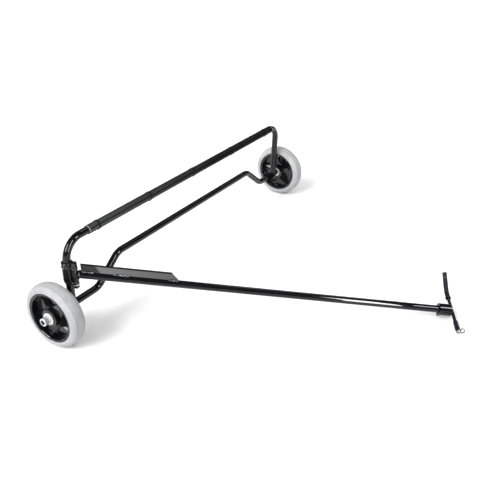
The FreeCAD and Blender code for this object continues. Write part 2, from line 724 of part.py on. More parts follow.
def make_crossbar():
    bar, grip = dim["crossbar_radius"], dim["grip_radius"]
    low_end, flange_start = dim["crossbar_start"], dim["flange_start"]
    flange_thickness, flange_radius, grip_gap, grip_length = 3.2, 8.6, 0.2, 32.0
    bent_rod("crossbar", low_end, bar, None)
    bent_rod("upper_grip", flange_start + flange_thickness + grip_gap, grip, bar, 0.5)
    far = low_end + 1.0
    near = far + grip_length
    edge, taper = 1.0, 3.0
    lower = turned("lower_grip", [(bar, far), (grip - edge, far), (grip, far + edge),
                                  (grip, near - taper), (grip - edge, near), (bar, near)])
    put(lower, crossbar_frame(), turn=TO_X)
    flange_end = flange_start + flange_thickness
    flange = turned("grip_flange", ring_corners(bar, flange_radius, flange_start, flange_end))
    put(flange, crossbar_frame(), turn=TO_X)


def make_end_eye():
    """Zinc ball at the crossbar's low end, with a small lug, and the ring that hangs in it."""
    ball, stem, stem_length = dim["eye_radius"], 4.0, 1.2
    neck = -math.sqrt(ball.value ** 2 - stem ** 2)
    centre = dim["crossbar_start"].value - stem_length + neck
    body = turned("end_eye", [(0, stem_length - neck), (stem, stem_length - neck), (stem, -neck),
                              (0, -ball, ball)])
    lug_reach, lug_half, lug_thickness, hole, slack = 8.5, 4.2, 2.0, 2.7, 0.3
    lean = FreeCAD.Rotation(ALONG, dim["lug_turn"].value)
    lug = new_sketch(body, "YZ_Plane", turn=lean)
    add_outline(lug, [(-lug_reach, lug_half, lug_half + slack), (0, lug_half),
                      (0, -lug_half), (-lug_reach, -lug_half)])
    pad(body, lug, lug_thickness, middle=True)
    eye = new_sketch(body, "YZ_Plane", turn=lean)
    add_circle(eye, -lug_reach, 0, hole)
    pocket(body, eye, lug_thickness * 3, middle=True)
    put(body, crossbar_frame(), x=centre, turn=TO_X)
    ring = doc.addObject("Part::Torus", "pull_ring")
    ring.Label = "pull_ring"
    ring.setExpression("Radius1", dim["ring_radius"].text)
    ring.setExpression("Radius2", dim["ring_wire"].text)
    hang = FreeCAD.Rotation(ACROSS, dim["lug_turn"].value - 90)
    hole_frame = crossbar_frame().multiply(FreeCAD.Placement(FreeCAD.Vector(centre, -lug_reach, 0), hang))
    lift = math.radians(27)
    radius = dim["ring_radius"].value
    put(ring, hole_frame, x=radius * math.sin(lift), y=-radius * math.cos(lift))
    parts.append(ring)


# ---- build, check and write ----------------------------------------------------------

make_axle_bar()
make_upper_frame_tube()
make_bar_sleeve()
make_cable_ties()
make_wheel("near", -1)
make_wheel("far", 1)
make_hinge()
make_drawbar_tube()
make_fin()
make_handle_hub()
make_crossbar()
make_end_eye()
doc.recompute()

for item in doc.Objects:
    if "Invalid" in item.State or "Error" in item.State:
        raise RuntimeError(f"{item.Label} did not build: {item.State}")
for piece in parts:
    if piece.Shape.isNull() or not piece.Shape.isValid():
        raise RuntimeError(f"{piece.Label} has no valid shape")

os.makedirs("parts", exist_ok=True)
whole = FreeCAD.BoundBox()
for piece in parts:
    piece.Shape.exportStep(f"parts/{piece.Label}.step")
    whole.add(piece.Shape.BoundBox)
    print(f"{piece.Label}: {piece.Shape.Volume:.0f} mm3, {len(piece.Shape.Solids)} solids")
print(f"{len(parts)} nodes, box {whole}")
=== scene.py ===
import json
import math
import random

import bpy
from mathutils import Matrix, Vector


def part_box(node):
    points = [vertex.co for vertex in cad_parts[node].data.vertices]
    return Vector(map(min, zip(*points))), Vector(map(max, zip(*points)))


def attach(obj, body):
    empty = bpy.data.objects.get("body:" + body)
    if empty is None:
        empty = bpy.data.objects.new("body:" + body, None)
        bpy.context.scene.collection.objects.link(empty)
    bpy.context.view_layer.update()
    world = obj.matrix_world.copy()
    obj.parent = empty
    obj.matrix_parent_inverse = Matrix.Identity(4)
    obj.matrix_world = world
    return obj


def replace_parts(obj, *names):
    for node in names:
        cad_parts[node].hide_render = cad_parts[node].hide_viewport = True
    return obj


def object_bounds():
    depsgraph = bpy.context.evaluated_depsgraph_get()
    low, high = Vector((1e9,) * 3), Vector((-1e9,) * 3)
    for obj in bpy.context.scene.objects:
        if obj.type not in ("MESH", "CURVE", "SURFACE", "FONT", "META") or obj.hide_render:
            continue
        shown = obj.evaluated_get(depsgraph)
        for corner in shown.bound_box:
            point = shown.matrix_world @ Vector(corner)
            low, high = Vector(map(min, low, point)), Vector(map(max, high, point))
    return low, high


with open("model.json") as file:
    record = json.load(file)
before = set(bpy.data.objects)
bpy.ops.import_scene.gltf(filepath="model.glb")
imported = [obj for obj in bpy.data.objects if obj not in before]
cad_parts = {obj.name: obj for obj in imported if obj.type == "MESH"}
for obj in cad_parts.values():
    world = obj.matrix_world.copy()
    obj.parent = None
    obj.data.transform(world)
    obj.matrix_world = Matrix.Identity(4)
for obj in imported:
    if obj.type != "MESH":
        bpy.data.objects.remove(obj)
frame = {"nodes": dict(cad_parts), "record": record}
cad_low, cad_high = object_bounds()
chance = random.Random(41)

NODES = frame["nodes"]
RECORD = frame["record"]
MM = 0.001
X_AXIS = Vector((1, 0, 0))
Z_AXIS = Vector((0, 0, 1))
WHEEL_SIDES = ("near", "far")
TIE_NUMBERS = range(1, 6)
AXLE_MASK = (0, 1, 1)  # drops the part of a distance that runs along an axle
SLIT_ANGLE = math.radians(158)  # where the sleeve's slit runs, turned from +Y towards +Z
BEAD_STEP = 0.9 * MM
TYRE_STEPS = 160
CUT_END_STEPS = 56
TIE_STEPS = 72

FLOOR_REACH = 30.0
BACKDROP_REACH, BACKDROP_TOP, BACKDROP_SIDES = 29.0, 26.0, 48
CAMERA_PLACE = (-1.7533, -0.9073, 1.2208)
CAMERA_HEADING = (0.7436, 0.4642, -0.4812)
CAMERA_LENS, CAMERA_SENSOR = 50.7, 36.0


# ---- where things are ----------------------------------------------------------------

def middle(node):
    low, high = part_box(node)
    return (low + high) / 2


def extent(node):
    low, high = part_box(node)
    return high - low


def span(node, origin, direction):
    """Lowest and highest reach of a CAD node along a direction, measured from origin."""
    reach = [(vertex.co - origin).dot(direction) for vertex in NODES[node].data.vertices]
    return min(reach), max(reach)


def axes_along(direction, upward=Z_AXIS):
    """Rotation whose X is the direction and whose Z leans towards upward."""
    along = direction.normalized()
    across = upward.cross(along).normalized()
    lift = along.cross(across)
    return Matrix((along, across, lift)).transposed()


def frame_at(origin, direction, upward=Z_AXIS):
    return Matrix.Translation(origin) @ axes_along(direction, upward).to_4x4()


# ---- mesh makers ---------------------------------------------------------------------

def mesh_piece(name, points, faces, body):
    mesh = bpy.data.meshes.new(name)
    mesh.from_pydata(points, [], faces)
    mesh.validate()
    for polygon in mesh.polygons:
        polygon.use_smooth = True
    piece = bpy.data.objects.new(name, mesh)
    bpy.context.scene.collection.objects.link(piece)
    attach(piece, body)
    return piece


def grid_faces(rows, columns, closed_rows, closed_columns, first=0):
    faces = []
    for row in range(rows if closed_rows else rows - 1):
        for column in range(columns if closed_columns else columns - 1):
            next_row = (row + 1) % rows
            next_column = (column + 1) % columns
            this, after = first + row * columns, first + next_row * columns
            faces.append((this + column, this + next_column, after + next_column, after + column))
    return faces


def lathe(profile, steps, place):
    """Points and faces of a closed (along, radius) profile turned about the place's X axis."""
    points = []
    for step in range(steps):
        angle = math.tau * step / steps
        for along, radius in profile:
            outward = Vector((along, radius * math.cos(angle), radius * math.sin(angle)))
            points.append(place @ outward)
    return points, grid_faces(steps, len(profile), True, True)


def swept(stations, sides, radius_at):
    """Capped tube through stations (point, rotation); radius_at gives the radius there."""
    points = []
    for index, (point, turn) in enumerate(stations):
        for side in range(sides):
            angle = math.tau * side / sides
            radius = radius_at(index, angle)
            offset = Vector((0, math.cos(angle), math.sin(angle))) * radius
            points.append(point + turn @ offset)
    faces = grid_faces(len(stations), sides, False, True)
    faces.append(tuple(reversed(range(sides))))
    faces.append(tuple(range(len(points) - sides, len(points))))
    return points, faces


def sharpen(piece, degrees):
    piece.data.set_sharp_from_angle(angle=math.radians(degrees))


# ---- materials -----------------------------------------------------------------------

class Finish:
    """A Principled material with helpers for procedural detail in object space."""

    def __init__(self, name, roughness, metallic=0.0, coat=0.0, coat_roughness=0.05,
                 specular=0.5):
        self.material = bpy.data.materials.new(name)
        self.material.use_nodes = True
        self.tree = self.material.node_tree
        self.shader = self.tree.nodes["Principled BSDF"]
        self.shader.inputs["Roughness"].default_value = roughness
        self.shader.inputs["Metallic"].default_value = metallic
        self.shader.inputs["Coat Weight"].default_value = coat
        self.shader.inputs["Coat Roughness"].default_value = coat_roughness
        self.shader.inputs["Specular IOR Level"].default_value = specular
        self.place = self.node("ShaderNodeTexCoord").outputs["Object"]

    def node(self, kind, **settings):
        made = self.tree.nodes.new(kind)
        for key, value in settings.items():
            setattr(made, key, value)
        return made

    def link(self, output, target):
        self.tree.links.new(output, target)

    def stretched(self, stretch, centre=(0, 0, 0)):
        mapping = self.node("ShaderNodeMapping")
        mapping.inputs["Scale"].default_value = stretch
        mapping.inputs["Location"].default_value = [-c * s for c, s in zip(centre, stretch)]
        self.link(self.place, mapping.inputs["Vector"])
        return mapping.outputs["Vector"]

    def noise(self, scale, detail=4.0, rough=0.55, vector=None, distortion=0.0):
        texture = self.node("ShaderNodeTexNoise")
        texture.inputs["Scale"].default_value = scale
        texture.inputs["Detail"].default_value = detail
        texture.inputs["Roughness"].default_value = rough
        texture.inputs["Distortion"].default_value = distortion
        self.link(vector or self.place, texture.inputs["Vector"])
        return texture.outputs["Fac"]

    def cells(self, scale, vector=None):
        texture = self.node("ShaderNodeTexVoronoi")
        texture.inputs["Scale"].default_value = scale
        self.link(vector or self.place, texture.inputs["Vector"])
        return texture.outputs["Distance"]

    def ramp(self, value, stops):
        """Colour ramp from (position, colour) stops; a plain number makes a grey."""
        ramp = self.node("ShaderNodeValToRGB")
        elements = ramp.color_ramp.elements
        while len(elements) < len(stops):
            elements.new(0.5)
        for element, (position, colour) in zip(elements, stops):
            element.position = position
            element.color = (*as_colour(colour), 1)
        self.link(value, ramp.inputs["Fac"])
        return ramp.outputs["Color"]

    def mottle(self, value, dark, pale):
        """Drift from a dark to a pale tone over the middle of a noise."""
        return self.ramp(value, [(0.3, dark), (0.7, pale)])

    def specks(self, value, start, full):
        """Black up to start, white from full on: scattered bright spots from a noise."""
        return self.ramp(value, [(0.0, 0.0), (start, 0.0), (full, 1.0)])

    def spread(self, value, low, high, start=0.3, end=0.7):
        """Map start..end to low..high, and hold the ends."""
        remap = self.node("ShaderNodeMapRange")
        limits = {"From Min": start, "From Max": end, "To Min": low, "To Max": high}
        for name, number in limits.items():
            remap.inputs[name].default_value = number
        self.link(value, remap.inputs["Value"])
        return remap.outputs["Result"]

    def blend(self, factor, first, second, mode="MIX"):
        """Mix two colours, through the Mix node's colour sockets: inputs 6 and 7, output 2."""
        mix = self.node("ShaderNodeMix", data_type="RGBA", blend_type=mode)
        self.link(factor, mix.inputs["Factor"])
        for socket, value in ((mix.inputs[6], first), (mix.inputs[7], second)):
            if isinstance(value, bpy.types.NodeSocket):
                self.link(value, socket)
            else:
                socket.default_value = (*as_colour(value), 1)
        return mix.outputs[2]

    def maths(self, operation, first, second=0.0):
        sum_node = self.node("ShaderNodeMath", operation=operation)
        for socket, value in zip(sum_node.inputs, (first, second)):
            if isinstance(value, bpy.types.NodeSocket):
                self.link(value, socket)
            else:
                socket.default_value = value
        return sum_node.outputs[0]

    def vector_maths(self, operation, first, second=None):
        made = self.node("ShaderNodeVectorMath", operation=operation)
        self.link(first, made.inputs[0])
        if second is not None:
            made.inputs[1].default_value = second
        return made

    def distance_from_axis(self, centre, mask):
        """Distance from a line through centre; mask is 0 along the line's direction."""
        shifted = self.vector_maths("SUBTRACT", self.place, centre).outputs["Vector"]
        flat = self.vector_maths("MULTIPLY", shifted, mask).outputs["Vector"]
        return self.vector_maths("LENGTH", flat).outputs["Value"]

    def reach_from(self, origin, direction):
        """How far a point lies from origin along a direction, negative behind it."""
        shifted = self.vector_maths("SUBTRACT", self.place, origin).outputs["Vector"]
        return self.vector_maths("DOT_PRODUCT", shifted, direction).outputs["Value"]

    def colour(self, output):
        self.link(output, self.shader.inputs["Base Color"])

    def roughness(self, output):
        self.link(output, self.shader.inputs["Roughness"])

    def bump(self, *layers):
        """Stack bumps from (height, strength, distance) layers, the first one lowest."""
        normal = None
        for height, strength, distance in layers:
            bump = self.node("ShaderNodeBump")
            bump.inputs["Strength"].default_value = strength
            bump.inputs["Distance"].default_value = distance
            self.link(height, bump.inputs["Height"])
            if normal is not None:
                self.link(normal, bump.inputs["Normal"])
            normal = bump.outputs["Normal"]
        self.link(normal, self.shader.inputs["Normal"])


def as_colour(value):
    return (value, value, value) if isinstance(value, (int, float)) else value


def powder_coat(name, gloss_index=1.4, gloss_roughness=0.035, dust_light=0.035):
    """Gloss black powder coat: orange peel, faint dust and slightly uneven gloss."""
    finish = Finish(name, 0.4, coat=1.0, coat_roughness=gloss_roughness, specular=0.0)
    finish.shader.inputs["Coat IOR"].default_value = gloss_index
    cloud = finish.noise(14.0, 5.0)
    dust = finish.specks(finish.noise(900.0, 2.0), 0.66, 0.78)
    base = finish.mottle(cloud, (0.003, 0.003, 0.0035), (0.007, 0.007, 0.008))
    finish.colour(finish.blend(dust, base, dust_light))
    finish.roughness(finish.spread(finish.noise(40.0, 4.0), 0.3, 0.5))
    finish.bump((finish.noise(420.0, 2.0), 0.03, 0.0002), (finish.noise(50.0, 3.0), 0.03, 0.0006))
    return finish


def fin_coat(start, along, upward, length, height):
    """Satin coat of the fin plate: dull near the hinge, a dark worn line along the top edge."""
    finish = powder_coat("fin_coat", 2.5, 0.12, 0.06)
    slanted = finish.reach_from(start, along + upward * 0.7)
    gloss = finish.ramp(finish.spread(slanted, 0.0, 1.0, 0.0, length),
                        [(0.0, 0.16), (0.19, 0.2), (0.22, 0.85), (0.5, 0.7), (1.0, 0.5)])
    height_up = finish.reach_from(start, upward)
    edge = finish.spread(height_up, 1.0, 0.12, height - 4.5 * MM, height - 3.0 * MM)
    finish.link(finish.maths("MULTIPLY", gloss, edge), finish.shader.inputs["Coat Weight"])
    return finish.material


def bead_coat():
    """Coated weld metal with painted glints: small bright specks in the colour stand in for light
    caught on the sharp scales.
    """
    finish = Finish("bead_coat", 0.25, coat=1.0, coat_roughness=0.06, specular=0.5)
    finish.shader.inputs["Coat IOR"].default_value = 1.8
    # painted glints: pale grey specks mixed into the colour where light would catch the scales
    painted_bead_glints = finish.specks(finish.noise(330.0, 3.0, 0.6), 0.57, 0.62)
    base = finish.mottle(finish.noise(120.0), (0.004, 0.004, 0.004), (0.02, 0.02, 0.021))
    finish.colour(finish.blend(painted_bead_glints, base, (0.5, 0.5, 0.5)))
    finish.roughness(finish.spread(finish.noise(200.0), 0.2, 0.45))
    finish.bump((finish.cells(380.0), 0.5, 0.0008), (finish.noise(700.0, 3.0), 0.3, 0.0005))
    return finish.material


def glint_speck_coat():
    """Powder coat over lumpy welded brackets, with painted glints: bright specks in the colour stand
    in for light caught on the lumps.
    """
    finish = Finish("glint_speck_coat", 0.35, coat=1.0, coat_roughness=0.05, specular=0.0)
    finish.shader.inputs["Coat IOR"].default_value = 1.4
    # painted glints: pale specks from a noise, mixed into the colour as if light caught the lumps
    painted_bracket_glints = finish.specks(finish.noise(300.0, 4.0, 0.65), 0.6, 0.64)
    base = finish.mottle(finish.noise(60.0), (0.002, 0.002, 0.0022), (0.006, 0.006, 0.0065))
    finish.colour(finish.blend(painted_bracket_glints, base, (0.3, 0.3, 0.31)))
    finish.roughness(finish.spread(finish.noise(150.0), 0.3, 0.5))
    finish.bump((finish.noise(90.0, 3.0), 0.6, 0.003), (finish.noise(500.0, 2.0), 0.1, 0.0003))
    return finish.material


def black_steel():
    """Black oxide fasteners with fine turned rings and a few bright scuffs."""
    finish = Finish("black_oxide", 0.3, coat=0.8, coat_roughness=0.05, specular=0.2)
    scuff = finish.specks(finish.noise(260.0, 6.0, 0.7), 0.6, 0.72)
    base = finish.mottle(finish.noise(90.0), (0.006, 0.006, 0.0065), (0.014, 0.014, 0.015))
    finish.colour(finish.blend(scuff, base, (0.12, 0.12, 0.125)))
    finish.roughness(finish.spread(finish.noise(180.0), 0.25, 0.5))
    grooves = finish.noise(700.0, 2.0, vector=finish.stretched((0.05, 0.05, 2.5)))
    finish.bump((grooves, 0.25, 0.0004))
    return finish.material


def tyre_rubber(side):
    """Pale grey solid tyre: moulded grain, with painted light and shade in bands by radius: dark
    lines in the bead groove and at the shoulder and a darker tread as painted shade, and a paler band
    next to the rim as a painted highlight.
    """
    centre = middle(f"{side}_tyre")
    outer = extent(f"{side}_tyre").z / 2
    finish = Finish(f"{side}_tyre_rubber", 0.6, specular=0.3)
    radius = finish.distance_from_axis(centre, AXLE_MASK)
    cloud = finish.ramp(finish.noise(16.0, 6.0, 0.6),
                        [(0.25, (0.47, 0.47, 0.478)), (0.75, (0.57, 0.57, 0.578))])
    # painted light and shade: full tone next to the rim for a highlight, darker bands for the bead
    # groove, the shoulder and the tread
    painted_light_and_shade_bands = finish.ramp(finish.spread(radius, 0.0, 1.0, outer * 0.765, outer),
                        [(0.0, 1.0), (0.15, 1.0), (0.18, 0.66), (0.24, 0.84), (0.26, 0.75),
                         (0.82, 0.82), (0.89, 0.6), (0.94, 0.76)])
    shade = finish.blend(finish.spread(finish.noise(120.0), 0.8, 1.0), cloud, painted_light_and_shade_bands, "MULTIPLY")
    grit = finish.mottle(finish.noise(1400.0, 2.0), 0.88, 1.0)
    drawn_out = finish.noise(60.0, 6.0, 0.7, finish.stretched((1, 0.5, 0.5)))
    uneven_tone = finish.ramp(drawn_out, [(0.35, 0.86), (0.6, 1.0)])
    gritty = finish.blend(finish.spread(finish.noise(30.0), 0.9, 1.0), shade, grit, "MULTIPLY")
    finish.colour(finish.blend(finish.spread(finish.noise(22.0), 0.6, 1.0), gritty, uneven_tone, "MULTIPLY"))
    finish.roughness(finish.spread(finish.noise(70.0), 0.45, 0.7))
    finish.bump((finish.noise(900.0, 3.0), 0.25, 0.0006), (finish.noise(45.0, 4.0), 0.12, 0.002))
    return finish.material


def wheel_plastic(side):
    """Black moulded rim: gloss skin with thin flow lines round the axle."""
    centre = middle(f"{side}_rim")
    finish = Finish(f"{side}_rim_plastic", 0.35, coat=1.0, coat_roughness=0.06, specular=0.0)
    finish.shader.inputs["Coat IOR"].default_value = 1.5
    radius = finish.distance_from_axis(centre, AXLE_MASK)
    flow = finish.maths("SINE", finish.maths("MULTIPLY", radius, 2600.0))
    tone = finish.mottle(finish.noise(35.0, 5.0), (0.003, 0.003, 0.0035), (0.007, 0.007, 0.008))
    speck = finish.specks(finish.noise(1100.0, 2.0), 0.68, 0.8)
    finish.colour(finish.blend(speck, tone, (0.05, 0.05, 0.055)))
    finish.roughness(finish.spread(finish.noise(90.0), 0.25, 0.45))
    finish.bump((flow, 0.02, 0.0003), (finish.noise(800.0, 3.0), 0.08, 0.0003))
    return finish.material


def zinc_plate(name, metallic=0.55, darkest=0.5, palest=0.73):
    """Bright zinc plating with cloudy spangle and fine turned lines."""
    finish = Finish(name, 0.25, metallic=metallic)
    tone = finish.ramp(finish.cells(240.0), [(0.0, darkest), (0.6, palest)])
    stain = finish.specks(finish.noise(120.0, 6.0, 0.7), 0.55, 0.75)
    finish.colour(finish.blend(stain, tone, (0.2, 0.2, 0.205)))
    finish.roughness(finish.spread(finish.noise(300.0, 3.0), 0.2, 0.4))
    turned_lines = finish.noise(900.0, 2.0, vector=finish.stretched((3.0, 0.15, 0.15)))
    finish.bump((turned_lines, 0.12, 0.0003))
    return finish.material


def dark_zinc():
    """Thin plated wire, dulled by handling."""
    finish = Finish("dark_zinc", 0.4, metallic=0.1, specular=0.2)
    tone = finish.mottle(finish.noise(500.0, 4.0), (0.008, 0.008, 0.009), (0.03, 0.03, 0.032))
    finish.colour(tone)
    finish.roughness(finish.spread(finish.noise(300.0, 3.0), 0.25, 0.45))
    finish.bump((finish.noise(1500.0, 2.0), 0.15, 0.0002))
    return finish.material


def ball_steel():
    """Worn plated ball: mottled from dull to bright, with dark greasy specks."""
    finish = Finish("ball_steel", 0.2, metallic=1.0)
    tone = finish.mottle(finish.noise(90.0, 3.0), (0.10, 0.10, 0.105), (0.42, 0.42, 0.43))
    grime = finish.specks(finish.noise(260.0, 5.0, 0.7), 0.5, 0.66)
    finish.colour(finish.blend(grime, tone, (0.05, 0.05, 0.05)))
    finish.roughness(finish.spread(finish.noise(400.0), 0.1, 0.3))
    finish.bump((finish.noise(800.0, 2.0), 0.1, 0.0002))
    return finish.material


def socket_zinc(side):
    """Zinc plate with painted shade in the hex socket in the middle of the screw's head: near black,
    with no metal and no shine.
    """
    finish = Finish(f"{side}_socket_zinc", 0.25, metallic=0.55)
    radius = finish.distance_from_axis(middle(f"{side}_axle_screw"), AXLE_MASK)
    tone = finish.ramp(finish.cells(240.0), [(0.0, (0.5, 0.505, 0.52)), (0.6, (0.72, 0.725, 0.74))])
    # painted shade: within 7.3 mm of the axle the colour is near black and metal and shine are gone,
    # standing in for the socket's shadow
    painted_socket_shade = finish.ramp(finish.spread(radius, 0.0, 1.0, 0.0, 10 * MM),
                         [(0.0, 1.0), (0.73, 1.0), (0.76, 0.0)])
    stain = finish.specks(finish.noise(150.0, 6.0, 0.7), 0.53, 0.7)
    plated = finish.blend(stain, tone, (0.2, 0.2, 0.205))
    finish.colour(finish.blend(painted_socket_shade, plated, 0.004))
    finish.link(finish.spread(painted_socket_shade, 0.55, 0.0, 0.0, 1.0), finish.shader.inputs["Metallic"])
    shine = finish.spread(painted_socket_shade, 0.5, 0.0, 0.0, 1.0)
    finish.link(shine, finish.shader.inputs["Specular IOR Level"])
    finish.roughness(finish.spread(finish.noise(300.0, 3.0), 0.2, 0.4))
    finish.bump((finish.noise(700.0, 2.0), 0.1, 0.0003))
    return finish.material


def bearing_steel():
    """Ground bearing steel and its dark seal ring."""
    finish = Finish("bearing_steel", 0.3, metallic=1.0)
    tone = finish.mottle(finish.noise(500.0, 3.0), (0.30, 0.30, 0.31), (0.50, 0.50, 0.52))
    grease = finish.specks(finish.noise(130.0, 5.0), 0.5, 0.7)
    finish.colour(finish.blend(grease, tone, (0.16, 0.155, 0.15)))
    finish.roughness(finish.spread(finish.noise(400.0), 0.2, 0.45))
    finish.bump((finish.noise(1200.0, 2.0), 0.1, 0.0002))
    return finish.material


def sleeve_foam():
    """Black closed-cell sleeve: satin skin, faint lines along it, darker and less shiny towards the
    far end, and painted shade in the slit: the slit is painted near black, with no shine.
    """
    finish = Finish("sleeve_foam", 0.5, specular=0.3)
    tone = finish.mottle(finish.noise(24.0, 6.0, 0.6), (0.009, 0.009, 0.01), (0.02, 0.02, 0.022))
    lines = finish.noise(170.0, 3.0, vector=finish.stretched((0.01, 1.0, 1.0)))
    lined = finish.blend(finish.ramp(lines, [(0.42, 0.0), (0.6, 1.0)]), tone, (0.04, 0.04, 0.042))
    pore = finish.ramp(finish.cells(1500.0), [(0.0, 0.0), (0.25, 1.0)])
    skin = finish.blend(pore, (0.008, 0.008, 0.009), lined)
    centre = middle("bar_sleeve")
    # darker and less shiny towards the far end of the sleeve
    uneven_tone = finish.spread(finish.reach_from(centre, X_AXIS), 1.0, 0.15, -0.45, 0.1)
    skin = finish.blend(uneven_tone, (0.004, 0.004, 0.0045), skin)
    # painted shade: near the slit the colour goes near black and the shine goes, as if shade filled
    # the slit
    across_slit = (0.0, -math.sin(SLIT_ANGLE), math.cos(SLIT_ANGLE))
    off_slit = finish.maths("ABSOLUTE", finish.reach_from(centre, across_slit))
    clear = finish.spread(off_slit, 0.0, 1.0, 0.8 * MM, 1.8 * MM)
    finish.colour(finish.blend(clear, (0.002, 0.002, 0.002), skin))
    shine = finish.maths("MULTIPLY", clear, finish.maths("MULTIPLY", uneven_tone, 0.4))
    finish.link(shine, finish.shader.inputs["Specular IOR Level"])
    finish.roughness(finish.spread(finish.noise(150.0), 0.4, 0.6))
    finish.bump((lines, 0.35, 0.0015), (finish.cells(1500.0), 0.3, 0.0005))
    return finish.material


def cut_foam_highlight():
    """Paler open cells on the cut end of the sleeve; the paleness is also a painted highlight along
    the cut edge.
    """
    finish = Finish("cut_foam_highlight", 0.7, specular=0.3)
    # partly painted highlight: grey 0.12 to 0.45, far paler than the sleeve's skin, for the light
    # line along the cut edge
    finish.colour(finish.ramp(finish.cells(1200.0), [(0.1, 0.12), (0.6, 0.45)]))
    finish.roughness(finish.spread(finish.noise(500.0), 0.6, 0.8))
    finish.bump((finish.cells(1400.0), 0.4, 0.0004))
    return finish.material


def tie_nylon():
    """Black nylon cable tie with fine ratchet lines across the strap."""
    finish = Finish("tie_nylon", 0.42, specular=0.15)
    tone = finish.mottle(finish.noise(200.0), (0.003, 0.003, 0.0035), (0.008, 0.008, 0.009))
    uneven_tone = finish.specks(finish.noise(600.0, 3.0), 0.66, 0.8)
    finish.colour(finish.blend(uneven_tone, tone, (0.04, 0.04, 0.042)))
    finish.roughness(finish.spread(finish.noise(260.0), 0.32, 0.55))
    finish.bump((finish.noise(1300.0, 2.0), 0.2, 0.0003))
    return finish.material


def grip_rubber():
    """Blue-black rubber hose grip with a fine sanded grain and painted highlights: pale specks in the
    colour.
    """
    finish = Finish("grip_rubber", 0.3, specular=0.06)
    tone = finish.mottle(finish.noise(60.0, 5.0), (0.003, 0.0028, 0.004), (0.010, 0.0095, 0.013))
    # painted highlights: pale blue-grey specks mixed into the colour where light would catch the grip
    painted_grip_highlights = finish.specks(finish.noise(320.0, 6.0, 0.7), 0.57, 0.64)
    finish.colour(finish.blend(painted_grip_highlights, tone, (0.17, 0.17, 0.19)))
    finish.roughness(finish.spread(finish.noise(140.0), 0.22, 0.5))
    finish.bump((finish.noise(1500.0, 2.0), 0.2, 0.0003), (finish.noise(110.0, 3.0), 0.5, 0.002))
    return finish.material


def thrust_nylon():
    """Dark grey nylon of the hinge's thrust washers."""
    finish = Finish("thrust_nylon", 0.5)
    finish.colour(finish.mottle(finish.noise(300.0), (0.03, 0.03, 0.03), (0.07, 0.07, 0.068)))
    finish.roughness(finish.spread(finish.noise(500.0), 0.4, 0.6))
    finish.bump((finish.noise(1400.0, 2.0), 0.15, 0.0002))
    return finish.material


def floor_paper():
    """Matt pale paper, barely mottled."""
    finish = Finish("floor_paper", 0.9, specular=0.0)
    finish.colour(finish.mottle(finish.noise(3.0, 3.0), 0.9, 0.92))
    finish.bump((finish.noise(300.0, 2.0), 0.05, 0.0005))
    return finish.material


FOAM, NYLON = sleeve_foam(), tie_nylon()
BEAD, GLINT_SPECK_COAT = bead_coat(), glint_speck_coat()
SLOT_MATERIAL = {
    "black_powder_coat": powder_coat("powder_coat").material,
    "black_steel": black_steel(),
    "zinc_steel": zinc_plate("zinc_plate"),
    "bearing_steel": bearing_steel(),
    "sleeve_plastic": FOAM,
    "tie_nylon": NYLON,
    "grip_rubber": grip_rubber(),
    "thrust_nylon": thrust_nylon(),
}


def dress(piece, material):
    piece.data.materials.clear()
    piece.data.materials.append(material)
    return piece


def dress_cad_nodes():
    """Each CAD node gets its slot's material, and a few get one of their own."""
    for part in RECORD["subparts"]:
        if part["material_slot"] in SLOT_MATERIAL:
            dress(NODES[part["node"]], SLOT_MATERIAL[part["material_slot"]])
    dress(NODES["pull_ring"], dark_zinc())
    dress(NODES["end_eye"], ball_steel())
    for bracket in ("leg_collar", "upper_hinge_ear", "lower_hinge_ear", "hinge_barrel"):
        dress(NODES[bracket], GLINT_SPECK_COAT)
    # painted highlight: a paler, less metallic copy of the zinc plate on the bushes, brighter to
    # stand in for the light they catch
    zinc_brightened_as_highlight = zinc_plate("zinc_brightened_as_highlight", 0.35, 0.55, 0.82)
    for wheel_side in WHEEL_SIDES:
        dress(NODES[f"{wheel_side}_axle_screw"], socket_zinc(wheel_side))
        for bush in ("flanged_bush", "inner_bush"):
            dress(NODES[f"{wheel_side}_{bush}"], zinc_brightened_as_highlight)


dress_cad_nodes()


# ---- wheels --------------------------------------------------------------------------

def bulge(start, end, radius, steps):
    """Points after start up to end on an arc of the radius that bulges outwards."""
    start, end = Vector(start), Vector(end)
    chord = end - start
    outward = Vector((chord.y, -chord.x)).normalized()
    if outward.dot(start + end) < 0:
        outward.negate()
    depth = math.sqrt(radius ** 2 - (chord.length / 2) ** 2)
    centre = (start + end) / 2 - outward * depth
    opening = 2 * math.asin(chord.length / 2 / radius)
    from_angle = math.atan2(start.y - centre.y, start.x - centre.x)
    turn = opening if outward.cross(chord) > 0 else -opening
    angles = [from_angle + turn * step / steps for step in range(1, steps + 1)]
    return [(centre.x + radius * math.cos(angle), centre.y + radius * math.sin(angle))
            for angle in angles]


def tyre_profile(outer, half):
    """Closed (along, radius) line of the tyre, with bead steps and a mould line."""
    bead, seat = outer * 0.78, outer * 0.741
    rim = half * 0.9
    step_rise = 0.7 * MM
    side = [(rim - 1.3 * MM, seat), (rim, seat + 1.5 * MM), (rim, bead),
            (rim + 1.2 * MM, bead + step_rise), (rim + 1.1 * MM, bead + 2.0 * MM),
            (rim + 1.6 * MM, bead + 2.6 * MM)]
    wall, shoulder = (half, outer * 0.832), (half * 0.52, outer * 0.976)
    side += bulge(side[-1], wall, outer * 0.14, 5)
    side += bulge(wall, shoulder, outer * 0.24, 14)
    mould_line = (0.5 * MM, outer - 0.25 * MM)
    side += bulge(shoulder, mould_line, outer * 0.42, 8)
    mirrored = [(-along, radius) for along, radius in reversed(side)]
    return side + [(0.0, outer)] + mirrored


